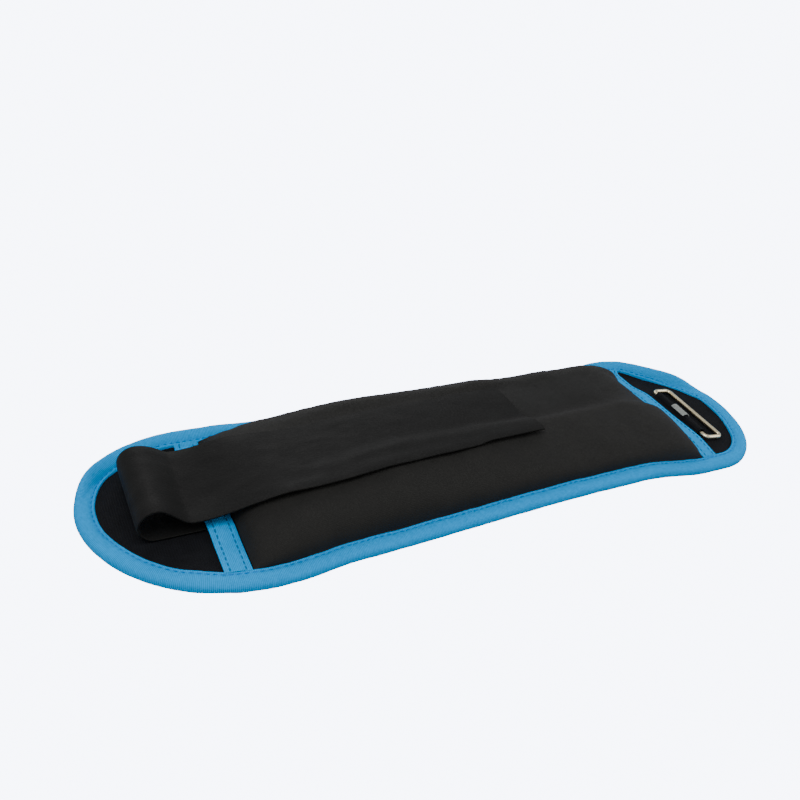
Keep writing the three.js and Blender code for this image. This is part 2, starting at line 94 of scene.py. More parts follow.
# Sections.
FLAP_SEAM = 3.4
LIFTED_SEAM = 9.4
SEAM_RISE_FROM = -95
SEAM_RISE_LENGTH = 155
SEAM_FALL_LENGTH = 50
SEAM_TILT_WIDTH = 90
BODY_HALF_WIDTH = 47
COVER_FOOT = 1.75
LOW_CROWN = 21
HIGH_CROWN = 26.4
CROWN_RISE_FROM = -110
CROWN_RISE_LENGTH = 65
END_ROUND = 34
BACK_DROP = 2.4
DOME_POWER = 3
PANEL_FLAT_HALF_WIDTH = 32
PANEL_THICKNESS = 1.6
PANEL_HOLLOW = 1.65
COVER_THICKNESS = 2.2
COVER_TUCK = 0.3
FLANGE = 3
FLAP_TOP = FLAP_SEAM + COVER_FOOT
ROWS_PER_PITCH = 20
DOME_COLUMNS = 57
FLAP_COLUMNS = 41

# Pressed shape of the cover, under the strap and beyond its free end.
TROUGH_DEPTH = 2.2
RECESS_DEPTH = 4.2
RECESS_SHALLOWS_BY = 2.0
TROUGH_NEAR_WALL = -15
RIDGE_HEIGHT = 1.5
RIDGE_LINE = 34
CREST_STAYS = 1.2

# Cloth simulation of the cover.
SWELL_PRESSURE = 3.0
SWELL_LIMIT = 2.0
CLOTH_FRAMES = 20

# Binding tape.
BIND_HALF_WIDTH = 4.5
BIND_HALF_HEIGHT = 3.2
BIND_POWER = 2.5
BIND_STITCH_IN = 2.9
BIND_STITCH_UP = 2.42
BIND_LOWEST = 0.15
STITCH_PITCH = 3.3
STITCH_WIDTH = 0.55
STITCH_SHARE = 0.72
TAPE_HALF_LENGTH = 47.6

# Strap.
STRAP_WIDTH = 47.5
STRAP = 1.5
STRAP_ROOT_END = -128.5
STRAP_TIP = 37
STRAP_MIDDLE_LEFT = 4
STRAP_MIDDLE_LOW = -3
STRAP_MIDDLE_RIGHT = -0.4
STRAP_LOW_X = -80
STRAP_FOLD_X = -158.4
STRAP_LOWER = 6.2
STRAP_UPPER = 22
STRAP_BEND_RADIUS = (STRAP_UPPER - STRAP_LOWER) / 2
STRAP_DIP_X = -143
STRAP_DIP = 11.4
STRAP_BRIDGE_END = -98
STRAP_BRIDGE = 22.3
STRAP_CLEARANCE = 0.45
STRAP_NEAR_EDGE_LIFT = 1.1
STRAP_TWIST_NEAR = 1.0
STRAP_TWIST_FAR = 3.6
BEND_STEPS = 28
HOOK_START = 9
HOOK_THICKNESS = 1.1
HOOK_LIFT = 1.6

# Wire ring and the tab that holds it.
WIRE_RADIUS = 1.3
RING_LENGTH = 49.6
RING_DEPTH = 12
RING_CORNER = 3
RING_CLEARANCE = 0.3
TAB_WIDTH = 40
TAB_RADIUS = 2.05
TAB_THICKNESS = 0.8
RIBBON_WIDTH = 11
RIBBON_RADIUS = 3.05
RIBBON_THICKNESS = 0.6


def new_object(name, data):
    thing = bpy.data.objects.new(name, data)
    bpy.context.scene.collection.objects.link(thing)
    return thing


# ---- camera, light and floor


def add_camera():
    """A 52 degree lens from the left front, tilted a little clockwise. Its place is in metres."""
    target = Vector((-0.0014, 0.0597, 0))
    distance = 0.4786
    azimuth = math.radians(-30.8)
    elevation = math.radians(32.81)
    roll = math.radians(8.6)
    level = math.cos(elevation)
    back = Vector((math.sin(azimuth) * level, -math.cos(azimuth) * level, math.sin(elevation)))
    right = (-back).cross(Vector((0, 0, 1))).normalized()
    up = right.cross(-back)
    across = right * math.cos(roll) + up * math.sin(roll)
    upward = up * math.cos(roll) - right * math.sin(roll)
    lens = bpy.data.cameras.new("camera")
    lens.sensor_width = 36
    lens.lens = 36.57
    lens.clip_start = 0.01
    camera = new_object("camera", lens)
    rows = Matrix((across, upward, back)).transposed()
    camera.matrix_world = Matrix.Translation(target + back * distance) @ rows.to_4x4()
    bpy.context.scene.camera = camera


def add_area(name, place, size, power):
    """A round lamp that looks at the origin, with its place and size in metres."""
    light = bpy.data.lights.new(name, "AREA")
    light.shape = "DISK"
    light.size = size
    light.energy = power
    lamp = new_object(name, light)
    lamp.location = place
    lamp.rotation_euler = (-Vector(place)).to_track_quat("-Z", "Y").to_euler()


def add_world():
    world = bpy.data.worlds.new("studio")
    world.use_nodes = True
    background = world.node_tree.nodes["Background"]
    background.inputs["Color"].default_value = (0.95, 0.96, 1.0, 1)
    background.inputs["Strength"].default_value = 0.5
    bpy.context.scene.world = world


def add_cove():
    """A pale studio cove, with its floor well below the cuff so that the wrapped cuff never meets it."""
    floor_height = -0.3
    profile = [(7, floor_height), (8.5, 0.2), (9.5, 2), (9.5, 5), (7, 8), (3, 9.5)]
    steps = 64
    corners = [(0, 0, floor_height)]
    faces = [(0, 1 + i, 1 + (i + 1) % steps) for i in range(steps)]
    for ring, (reach, height) in enumerate(profile):
        for i in range(steps):
            angle = 2 * math.pi * i / steps
            corners.append((reach * math.cos(angle), reach * math.sin(angle), height))
            here = 1 + ring * steps + i
            beside = 1 + ring * steps + (i + 1) % steps
            if ring:
                faces.append((here - steps, here, beside, beside - steps))
    floor_mesh = bpy.data.meshes.new("floor")
    floor_mesh.from_pydata(corners, [], faces)
    floor = new_object("floor", floor_mesh)
    paint = bpy.data.materials.new("floor")
    paint.use_nodes = True
    shader = paint.node_tree.nodes["Principled BSDF"]
    shader.inputs["Base Color"].default_value = (0.02, 0.02, 0.02, 1)
    shader.inputs["Roughness"].default_value = 1
    shader.inputs["Specular IOR Level"].default_value = 0
    shader.inputs["Emission Color"].default_value = (0.786, 0.837, 1.0, 1)
    shader.inputs["Emission Strength"].default_value = 9.8
    floor.visible_diffuse = False
    floor.visible_glossy = False
    floor.visible_shadow = False
    floor_mesh.materials.append(paint)


def add_stage():
    add_world()
    add_cove()
    add_area("key", (-0.5, -0.3, 1.1), 0.9, 8)
    add_area("fill", (1.0, -0.4, 0.7), 0.9, 4.5)
    add_area("rim", (0.1, 1.2, 0.7), 0.8, 4)


# ---- materials


class Weave:
    """A fabric or metal shader whose pattern runs in millimetres along and across the piece."""

    def __init__(self, name, colour, roughness, specular=0.5, metallic=0.0):
        self.material = bpy.data.materials.new(name)
        self.material.use_nodes = True
        self.nodes = self.material.node_tree.nodes
        self.links = self.material.node_tree.links
        self.shader = self.nodes["Principled BSDF"]
        self.colour = colour
        self.shader.inputs["Base Color"].default_value = (*colour, 1)
        self.shader.inputs["Roughness"].default_value = roughness
        self.shader.inputs["Specular IOR Level"].default_value = specular
        self.shader.inputs["Metallic"].default_value = metallic
        self.uv = self.nodes.new("ShaderNodeUVMap")
        self.uv.uv_map = "cloth"
        self.height = None

    def scaled(self, along, across):
        mapping = self.nodes.new("ShaderNodeMapping")
        mapping.inputs["Scale"].default_value = (along, across, 1)
        self.links.new(self.uv.outputs["UV"], mapping.inputs["Vector"])
        return mapping.outputs["Vector"]

    def ribs(self, direction, period, distortion=0.0):
        """Fine ribs, with their period in millimetres along or across the piece."""
        wave = self.nodes.new("ShaderNodeTexWave")
        wave.bands_direction = direction
        wave.inputs["Scale"].default_value = 0.314
        wave.inputs["Distortion"].default_value = distortion
        wave.inputs["Detail"].default_value = 1
        self.links.new(self.scaled(100 / period, 100 / period), wave.inputs["Vector"])
        return wave.outputs["Fac"]

    def noise(self, size, detail=2.0, stretch=1.0):
        """Soft blotches about size millimetres wide."""
        texture = self.nodes.new("ShaderNodeTexNoise")
        texture.inputs["Scale"].default_value = 1
        texture.inputs["Detail"].default_value = detail
        texture.inputs["Roughness"].default_value = 0.5
        self.links.new(self.scaled(100 / (size * stretch), 100 / size), texture.inputs["Vector"])
        return texture.outputs["Fac"]

    def math(self, operation, a, b):
        node = self.nodes.new("ShaderNodeMath")
        node.operation = operation
        for socket, value in zip(node.inputs, (a, b)):
            if isinstance(value, (int, float)):
                socket.default_value = value
            else:
                self.links.new(value, socket)
        return node.outputs[0]

    def tint(self, factor, dark, light):
        """Colour between two multiples of the base, by a factor."""
        ramp = self.nodes.new("ShaderNodeValToRGB")
        low, high = ramp.color_ramp.elements
        low.position = 0.25
        high.position = 0.75
        low.color = (*(c * dark for c in self.colour), 1)
        high.color = (*(min(1, c * light) for c in self.colour), 1)
        self.links.new(factor, ramp.inputs["Fac"])
        self.links.new(ramp.outputs["Color"], self.shader.inputs["Base Color"])

    def rough(self, factor, low, high):
        spread = self.nodes.new("ShaderNodeMapRange")
        spread.inputs["To Min"].default_value = low
        spread.inputs["To Max"].default_value = high
        self.links.new(factor, spread.inputs["Value"])
        self.links.new(spread.outputs["Result"], self.shader.inputs["Roughness"])

    def bump(self, factor, height_mm, strength=1.0):
        """Relief over what earlier calls added."""
        node = self.nodes.new("ShaderNodeBump")
        node.inputs["Distance"].default_value = height_mm * MM
        node.inputs["Strength"].default_value = strength
        self.links.new(factor, node.inputs["Height"])
        if self.height:
            self.links.new(self.height, node.inputs["Normal"])
        self.height = node.outputs["Normal"]
        self.links.new(self.height, self.shader.inputs["Normal"])

    def sheen(self, weight, tint):
        self.shader.inputs["Sheen Weight"].default_value = weight
        self.shader.inputs["Sheen Roughness"].default_value = 0.4
        self.shader.inputs["Sheen Tint"].default_value = (*tint, 1)


def cover_material():
    """Knit with painted shade: its colour is darker in the recess beyond the strap's free end."""
    weave = Weave("black_stretch_knit", (0.0125, 0.0122, 0.0110), 0.72, specular=0.2)
    knit = weave.math("MULTIPLY", weave.ribs("X", 0.55), weave.ribs("Y", 0.8))
    blotch = weave.noise(9, 3)
    fleck = weave.noise(0.5, 2)
    mixed = weave.math("ADD", weave.math("MULTIPLY", blotch, 0.7), weave.math("MULTIPLY", fleck, 0.3))
    # Painted shade: the pressed attribute darkens the colour in the recess beyond the strap's free end.
    pressed = weave.nodes.new("ShaderNodeAttribute")
    pressed.attribute_name = "pressed"
    mixed = weave.math("SUBTRACT", mixed, weave.math("MULTIPLY", pressed.outputs["Fac"], 0.5))
    weave.tint(mixed, 0.75, 1.3)
    weave.rough(blotch, 0.62, 0.82)
    weave.bump(knit, 0.12)
    weave.bump(weave.noise(3, 2), 0.15, 0.6)
    weave.sheen(0.02, (0.8, 0.85, 0.9))
    return weave.material


def knit_material(name, colour, sheen):
    weave = Weave(name, colour, 0.85, specular=0.15)
    loops = weave.math("MULTIPLY", weave.ribs("X", 1.1, 0.6), weave.ribs("Y", 0.9, 0.6))
    weave.tint(weave.noise(6, 3), 0.7, 1.35)
    weave.bump(loops, 0.18)
    weave.bump(weave.noise(1.2, 2), 0.1, 0.7)
    weave.sheen(sheen, (0.7, 0.75, 0.85))
    return weave.material


def binding_material():
    weave = Weave("blue_binding_tape", (0.0005, 0.34, 0.79), 0.7, specular=0.02)
    ribs = weave.ribs("X", 0.75, 0.2)
    threads = weave.math("ADD", ribs, weave.noise(2.2, 3))
    weave.tint(weave.math("MULTIPLY", threads, 0.5), 0.82, 1.2)
    weave.bump(ribs, 0.12)
    weave.bump(weave.noise(1.4, 2, 0.5), 0.18, 0.7)
    return weave.material


def thread_material(name, colour):
    weave = Weave(name, colour, 0.5, specular=0.2)
    weave.tint(weave.noise(1.5, 1), 0.85, 1.15)
    weave.bump(weave.ribs("X", 0.4), 0.05)
    return weave.material


def strap_material():
    weave = Weave("black_strap", (0.0072, 0.0072, 0.0068), 0.66, specular=0.13)
    nap = weave.noise(0.9, 3, 1.4)
    weave.tint(weave.noise(7, 3, 2), 0.8, 1.25)
    weave.rough(weave.noise(5, 2, 3), 0.52, 0.74)
    weave.bump(nap, 0.14)
    weave.sheen(0.015, (0.85, 0.85, 0.85))
    return weave.material


def steel_material():
    weave = Weave("plated_wire", (0.93, 0.80, 0.52), 0.25, metallic=1.0)
    weave.tint(weave.noise(4, 3), 0.85, 1.1)
    weave.rough(weave.noise(2, 3), 0.18, 0.38)
    weave.bump(weave.noise(1.0, 2, 4), 0.02)
    return weave.material


def plain_material(name, colour, roughness, metallic, grain):
    weave = Weave(name, colour, roughness, metallic=metallic)
    place = weave.nodes.new("ShaderNodeTexCoord")
    texture = weave.nodes.new("ShaderNodeTexNoise")
    texture.inputs["Scale"].default_value = grain
    texture.inputs["Detail"].default_value = 3
    weave.links.new(place.outputs["Object"], texture.inputs["Vector"])
    weave.tint(texture.outputs["Fac"], 0.6, 1.3)
    weave.bump(texture.outputs["Fac"], 0.2)
    return weave.material


def label_material():
    weave = Weave("grey_ribbon", (0.27, 0.29, 0.27), 0.6)
    weave.tint(weave.noise(1.2, 2), 0.75, 1.2)
    weave.bump(weave.ribs("Y", 0.5), 0.08)
    return weave.material


def hook_material():
    weave = Weave("hook_tape", (0.012, 0.012, 0.013), 0.45)
    hooks = weave.math("MULTIPLY", weave.ribs("X", 1.4), weave.ribs("Y", 1.4))
    weave.tint(hooks, 0.7, 1.6)
    weave.bump(hooks, 0.8)
    return weave.material


# ---- shape of the cuff


def ease(t):
    """Smooth step from 0 to 1."""
    u = np.clip(t, 0, 1)
    return u * u * (3 - 2 * u)


def seam_height(x, y):
    """Height of the seam in the binding: lifted along the front edge by the fullness of the pouches."""
    along = ease((x - SEAM_RISE_FROM) / SEAM_RISE_LENGTH) * ease((LAST_FOLD - x) / SEAM_FALL_LENGTH)
    return FLAP_SEAM + (LIFTED_SEAM - FLAP_SEAM) * along * ease(0.5 - y / SEAM_TILT_WIDTH)


def crown_height(x, y):
    """Height of the dome's crown: fuller to the right, and rounded down at both ends."""
    full = LOW_CROWN + (HIGH_CROWN - LOW_CROWN) * ease((x - CROWN_RISE_FROM) / CROWN_RISE_LENGTH)
    full = full - BACK_DROP * ease((y - 5) / 40) * ease((-60 - x) / 50)
    from_end = np.clip(np.minimum(x - FIRST_FOLD, LAST_FOLD - x) / END_ROUND, 0, 1)
    foot = seam_height(x, y) + COVER_FOOT
    return foot + (full - foot) * np.sqrt(1 - (1 - from_end) ** 2)


def dent(x, y):
    """How far the cover is pressed in: a trough under the strap, and a flat beyond its free end."""
    far_crest = ease((y - 23) / 10)
    recess = RECESS_DEPTH - RECESS_SHALLOWS_BY * ease((x - 50) / 70)
    recess = recess - CREST_STAYS * far_crest * ease((95 - x) / 40)
    beyond = ease((x - STRAP_TIP + 6) / (8 + 24 * far_crest)) * ease((132 - x) / 16)
    near_wall = ease((y - TROUGH_NEAR_WALL + 1.2 * np.sin(x / 19)) / 10)
    under_strap = TROUGH_DEPTH + (RECESS_DEPTH - TROUGH_DEPTH) * ease((x + 15) / 45)
    trough = under_strap * ease((x + 105) / 35) * near_wall * ease((RIDGE_LINE - 1 - y) / 10)
    ridge = RIDGE_HEIGHT * np.exp(-(((y - RIDGE_LINE) / 8) ** 2))
    ridge = ridge * ease((x + 80) / 30) * ease((125 - x) / 25)
    return trough + (recess * near_wall - trough) * beyond - ridge


def cover_height(x, y):
    """Height of the unpressed dome."""
    foot = seam_height(x, y) + COVER_FOOT
    across = np.clip(np.abs(y) / BODY_HALF_WIDTH, 0, 1)
    rise = (1 - across**DOME_POWER) ** (1 / DOME_POWER)
    return foot + (crown_height(x, y) - foot) * rise


def flap_edges(x):
    """Distance from the middle line to the front and the back edge at x, binding included."""
    left = np.clip((LEFT_ARC_START - x) / (HALF_LENGTH + LEFT_ARC_START), 0, 1)
    right = np.clip((x - RIGHT_ARC_START) / (HALF_LENGTH - RIGHT_ARC_START), 0, 1)
    edges = []
    for at_left, at_right in zip(LEFT_ARC_POWERS, RIGHT_ARC_POWERS):
        tongue = (1 - left**at_left) ** (1 / at_left)
        edges.append(HALF_WIDTH * np.minimum(tongue, (1 - right**at_right) ** (1 / at_right)))
    return edges


def flap_grid(x, columns):
    """Y over a flap, for each x: columns from the front edge to the back edge, inside the binding."""
    share = np.sin(np.linspace(-0.5, 0.5, columns) * math.pi)
    front, back = (np.minimum(edge - 5.5, BODY_HALF_WIDTH + 2.5)[:, None] for edge in flap_edges(x))
    return np.where(share < 0, front, back) * share, share


def laid(points):
    """How the cuff happens to lie: the tongue askew, the two far corners drawn in and curled up, the
    tip of the ring flap lifted, and the front edge crept out beside the tongue."""
    x, y, z = points[..., 0], points[..., 1], points[..., 2]
    left = ease((-95 - x) / 30)
    right = ease((x - 115) / 25)
    _, edge = flap_edges(x)
    turn = FAR_EDGE_CURL * np.maximum(left, right) * ease((edge - 8) / 25)
    beyond = np.maximum(0, y - edge + CURLED_WIDTH)
    drawn = LEFT_CORNER_DRAWN_IN * left * ease((y - 15) / 40)
    drawn = drawn + RIGHT_CORNER_NARROWING * ease((x - 115) / 68) * np.maximum(0, y)
    tongue = np.clip((TONGUE_SKEW_FROM - x) / (HALF_LENGTH + TONGUE_SKEW_FROM), 0, 1) ** 1.1
    creep = ease((x - FIRST_FOLD + 18) / 28) * ease((-78 - x) / 32) * ease((-y - 15) / 35)
    tip = np.clip((x - TIP_LIFT_FROM) / (HALF_LENGTH - TIP_LIFT_FROM), 0, 1) ** 1.5
    moved_y = y - beyond * (1 - np.cos(turn)) - drawn + TONGUE_SKEW * tongue - FRONT_SPREAD * creep
    return np.stack([x, moved_y, z + beyond * np.sin(turn) + TIP_LIFT * tip], -1)


def even_dome(count):
    """Points of the dome's section at even steps along its arc: (share of half width, share of rise)."""
    angle = np.linspace(math.pi, 0, 4001)
    exponent = 2 / DOME_POWER
    across = np.sign(np.cos(angle)) * np.abs(np.cos(angle)) ** exponent
    rise = np.abs(np.sin(angle)) ** exponent
    step = np.hypot(np.diff(across) * BODY_HALF_WIDTH, np.diff(rise) * 18)
    length = np.concatenate([[0], np.cumsum(step)])
    even = np.linspace(0, length[-1], count)
    return np.interp(even, length, across), np.interp(even, length, rise)


# ---- mesh building


def unit(vectors):
    return vectors / np.maximum(np.linalg.norm(vectors, axis=-1, keepdims=True), 1e-9)


def grid_points(x, y, z):
    """Points whose coordinates are spread over one grid."""
    return np.stack(np.broadcast_arrays(x, y, z), -1)


def surface_normals(points):
    return unit(np.cross(np.gradient(points, axis=0), np.gradient(points, axis=1)))


def path_lengths(points):
    """Distance of each point of a path from its start."""
    step = np.linalg.norm(np.diff(points, axis=0), axis=1)
    return np.concatenate([[0], np.cumsum(step)])


def arc_lengths(points, axis):
    """Distance along the surface from the first row or column of points."""
    step = np.linalg.norm(np.diff(points, axis=axis), axis=2)
    total = np.cumsum(step, axis=axis)
    pad = [(0, 0), (0, 0)]
    pad[axis] = (1, 0)
    return np.pad(total, pad)


def new_mesh(name, vertices, faces, uvs, material, normals=None):
    """A piece from points in millimetres, with cloth coordinates and, where given, its own normals."""
    mesh = bpy.data.meshes.new(name)
    mesh.from_pydata((np.asarray(vertices) * MM).tolist(), [], faces)
    mesh.materials.append(material)
    mesh.polygons.foreach_set("use_smooth", [True] * len(mesh.polygons))
    layer = mesh.uv_layers.new(name="cloth")
    index = np.zeros(len(mesh.loops), np.int32)
    mesh.loops.foreach_get("vertex_index", index)
    layer.data.foreach_set("uv", (np.asarray(uvs)[index] / 100).astype(np.float32).ravel())
    mesh.update()
    if normals is not None:
        mesh.normals_split_custom_set_from_vertices(np.asarray(normals).tolist())
    return new_object(name, mesh)


def grid_faces(rows, columns):
    at = np.arange(rows * columns).reshape(rows, columns)
    return np.stack([at[:-1, :-1], at[1:, :-1], at[1:, 1:], at[:-1, 1:]], -1).reshape(-1, 4)


def sheet_faces(rows, columns):
    """Faces of a closed sheet: upper grid, lower grid and the rim between them."""
    layer = rows * columns
    at = np.arange(layer).reshape(rows, columns)
    upper = grid_faces(rows, columns)
    lower = upper[:, ::-1] + layer
    rims = []
    for edge, flip in ((at[:, 0], False), (at[:, -1], True), (at[0], True), (at[-1], False)):
        near, far = edge[:-1], edge[1:]
        rim = np.stack([near, near + layer, far + layer, far], -1)
        rims.append(rim[:, ::-1] if flip else rim)
    return np.concatenate([upper, lower, *rims]).tolist()


def sheet_piece(name, outer, inner, material, span=None):
    """Rows span[0] to span[1] of a sheet, as one closed piece that shares its neighbours' normals."""
    first, last = span or (0, outer.shape[0] - 1)
    keep = slice(first, last + 1)
    outward = surface_normals(outer)
    inward = -surface_normals(inner)
    across = arc_lengths(outer, 1)
    across = across - across[:, -1:] / 2
    along = np.repeat(outer[:, outer.shape[1] // 2, 0][:, None], outer.shape[1], 1)
    if np.ptp(along) < 40:
        along = arc_lengths(outer, 0)
    uv = np.stack([along, across], -1)[keep]
    uvs = np.concatenate([uv, uv]).reshape(-1, 2)
    points = np.concatenate([outer[keep], inner[keep]]).reshape(-1, 3)
    normals = np.concatenate([outward[keep], inward[keep]]).reshape(-1, 3)
    faces = sheet_faces(last + 1 - first, outer.shape[1])
    return new_mesh(name, points, faces, uvs, material, normals)


def tube_piece(name, rings, material, closed=False, span=None):
    """Rings of section points joined along a path, with a cap at each end unless the path is closed."""
    first, last = span or (0, rings.shape[0] - 1)
    outward = tube_normals(rings, closed)
    keep = slice(first, last + 1)
    part = rings[keep]
    rows, columns = part.shape[:2]
    at = np.arange(rows * columns).reshape(rows, columns)
    beside = np.roll(at, -1, axis=1)
    pairs = [(at[:-1], beside[:-1], beside[1:], at[1:])]
    if closed:
        pairs.append((at[-1:], beside[-1:], beside[:1], at[:1]))
    faces = np.concatenate([np.stack(p, -1).reshape(-1, 4) for p in pairs]).tolist()
    if not closed:
        faces += [at[0, ::-1].tolist(), at[-1].tolist()]
    along = path_lengths(rings.mean(1))[keep]
    around = arc_lengths(part, 1)
    uv = np.stack([np.repeat(along[:, None], columns, 1), around], -1).reshape(-1, 2)
    normals = outward[keep].reshape(-1, 3)
    return new_mesh(name, part.reshape(-1, 3), faces, uv, material, normals)


def tube_normals(rings, closed):
    ahead = np.roll(rings, -1, 0) - np.roll(rings, 1, 0)
    if not closed:
        ahead[0] = rings[1] - rings[0]
        ahead[-1] = rings[-1] - rings[-2]
    around = np.roll(rings, -1, 1) - np.roll(rings, 1, 1)
    return unit(np.cross(around, ahead))


def stitches(name, points, material, side=1.0, span=None):
    """A row of stitches along a path, on top (1) or under (-1): one small arched thread for each."""
    length = path_lengths(points)
    first, last = span or (0, len(points) - 1)
    start, end = length[first], length[last]
    numbers = np.arange(math.ceil(start / STITCH_PITCH), math.floor(end / STITCH_PITCH - 0.5) + 1)
    sides, rings = 6, 5
    turn = np.linspace(0, 2 * math.pi, sides, endpoint=False)
    up = np.array([0.0, 0.0, side])
    vertices, faces, uvs, shades = [], [], [], []

    def place(at):
        return np.array([np.interp(at, length, points[:, i]) for i in range(3)])

    for number in numbers:
        base = len(vertices)
        for ring in range(rings):
            t = ring / (rings - 1)
            along = (number + 0.5 + STITCH_SHARE * (t - 0.5)) * STITCH_PITCH
            across = np.cross(unit(place(along + 0.2) - place(along - 0.2)), up)
            swell = math.sin(math.pi * (0.12 + 0.76 * t))
            middle = place(along) + up * (0.30 * swell - 0.12)
            for angle in turn:
                out = across * math.cos(angle) + up * 0.8 * math.sin(angle)
                vertices.append(middle + out * 0.5 * STITCH_WIDTH * swell)
                uvs.append((along, STITCH_WIDTH * angle))
                shades.append(out)
        for ring in range(rings - 1):
            for i in range(sides):
                a = base + ring * sides + i
                b = base + ring * sides + (i + 1) % sides
                faces.append([a, a + sides, b + sides, b])
        faces.append([base + i for i in range(sides)])
        faces.append([base + (rings - 1) * sides + i for i in reversed(range(sides))])
    return new_mesh(name, np.array(vertices), faces, np.array(uvs), material, np.array(shades))


# ---- padded body


def cloth_relax(points, pinned, swell, cap):
    """Inflates a sheet as cloth, held at its pinned points, and returns it with its moves capped."""
    mesh = bpy.data.meshes.new("sim")
    mesh.from_pydata((points.reshape(-1, 3) * MM).tolist(), [], grid_faces(*points.shape[:2]).tolist())
    body = new_object("sim", mesh)
    group = body.vertex_groups.new(name="pin")
    group.add(np.flatnonzero(pinned.ravel()).tolist(), 1.0, "REPLACE")
    cloth = body.modifiers.new("cloth", "CLOTH")
    settings = cloth.settings
    settings.quality = 6
    settings.mass = 0.4
    settings.tension_stiffness = 12
    settings.compression_stiffness = 12
    settings.bending_stiffness = 1.5
    settings.use_pressure = True
    settings.uniform_pressure_force = swell
    settings.vertex_group_mass = "pin"
    settings.effector_weights.gravity = 0
    cloth.collision_settings.use_collision = False
    scene = bpy.context.scene
    cloth.point_cache.frame_start = 1
    cloth.point_cache.frame_end = CLOTH_FRAMES
    for number in range(1, CLOTH_FRAMES + 1):
        scene.frame_set(number)
    shown = body.evaluated_get(bpy.context.evaluated_depsgraph_get()).to_mesh()
    moved = np.zeros(len(shown.vertices) * 3)
    shown.vertices.foreach_get("co", moved)
    scene.frame_set(1)
    bpy.data.objects.remove(body)
    bpy.data.meshes.remove(mesh)
    change = moved.reshape(points.shape) / MM - points
    size = np.linalg.norm(change, axis=2, keepdims=True)
    return points + change * np.minimum(1, cap / np.maximum(size, 1e-6))


def smooth_noise(x, y, size, seed):
    """Sum of sines with seeded directions: a soft unevenness of about the given size."""
    draw = np.random.default_rng(seed)
    total = np.zeros(np.broadcast(x, y).shape)
    for octave in range(2):
        for _ in range(5):
            angle, phase = draw.uniform(0, 2 * math.pi, 2)
            rate = 2 * math.pi / (size / 2**octave) * draw.uniform(0.7, 1.3)
            ahead = x * math.cos(angle) + y * math.sin(angle)
            total += math.sqrt(0.1) * np.sin(rate * ahead + phase) / 2**octave
    return total


def cover_surface():
    """Upper face of the cover: swollen as cloth, puckered at its seams and pressed in by the strap."""
    reach = BODY_HALF_WIDTH + COVER_TUCK
    across, rise = even_dome(DOME_COLUMNS)
    x = np.linspace(FIRST_FOLD + 0.2, LAST_FOLD - 0.2, ROWS_PER_PITCH * 5 + 1)[:, None]
    y = across * reach
    foot = seam_height(x, y) + COVER_FOOT
    points = grid_points(x, y, foot + (crown_height(x, y) - foot) * rise)
    pinned = np.zeros(points.shape[:2], bool)
    pinned[:2] = pinned[-2:] = True
    pinned[:, :2] = pinned[:, -2:] = True
    points = cloth_relax(points, pinned, SWELL_PRESSURE, SWELL_LIMIT)
    xs, ys = points[..., 0], points[..., 1]
    from_seam = reach - np.abs(ys)
    pucker = np.exp(-from_seam / 6) * np.clip(rise * 3, 0, 1)
    along = np.where(ys < 0, xs, xs + 37)
    ripple = 0.35 * np.sin(along * 2 * math.pi / 8.3 + 2.1 * np.sin(along / 17)) * np.sin(along / 11.7 + 1)
    flesh = smooth_noise(xs, ys, 46, 3) * 0.5 * rise
    points[..., 2] += pucker * ripple + flesh - dent(xs, ys) * rise
    return laid(points)


def with_flange(points):
    """Adds a narrow edge on each side of a sheet that is caught inside the binding."""
    left, right = points[:, :1].copy(), points[:, -1:].copy()
    left[..., 1] -= FLANGE
    right[..., 1] += FLANGE
    return np.concatenate([left, points, right], 1)


def thickened(points, thickness):
    return points - surface_normals(points) * thickness


def settle(piece, body, node):
    """The piece rides one body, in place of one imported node."""
    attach(piece, body)
    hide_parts(node)


def across_fold(piece, fold, reach=None):
    """Bakes the piece's place into its mesh; nothing here bends it at the fold."""
    reach = reach or (FLAP_REACH if fold in (0, 5) else POUCH_REACH)
    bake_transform(piece)


def paint_recess_shade(piece):
    """Stores on each point a painted shade for the cover: darkest in the recess just beyond the strap's
    free end, by its depth, fading out to the right.
    """
    places = np.zeros(len(piece.data.vertices) * 3)
    piece.data.vertices.foreach_get("co", places)
    x, y, _ = places.reshape(-1, 3).T / MM
    pressed = np.clip(dent(x, y) / 3, 0, 1) * ease((x - 28) / 8) * ease((140 - x) / 70)
    # The pressed attribute holds this painted shade.
    layer = piece.data.attributes.new("pressed", "FLOAT", "POINT")
    layer.data.foreach_set("value", pressed.astype(np.float32))


def add_cover(material):
    """The cover in six pieces, cut across the middle of each pouch."""
    surface = cover_surface()
    outer = with_flange(surface)
    inner = with_flange(thickened(surface, COVER_THICKNESS))
    half = ROWS_PER_PITCH // 2
    cuts = [0] + [half + ROWS_PER_PITCH * i for i in range(5)] + [ROWS_PER_PITCH * 5]
    for part in range(6):
        piece = sheet_piece(f"cover_skin_{part + 1}", outer, inner, material, (cuts[part], cuts[part + 1]))
        if part == 0:
            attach(piece, "pad_1")
            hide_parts("outer_cover_1")
        elif part == 5:
            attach(piece, "pad_5")
        else:
            across_fold(piece, part)
            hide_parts(f"outer_cover_{part + 1}")
        # Painted shade in the recess beyond the strap's free end.
        paint_recess_shade(piece)


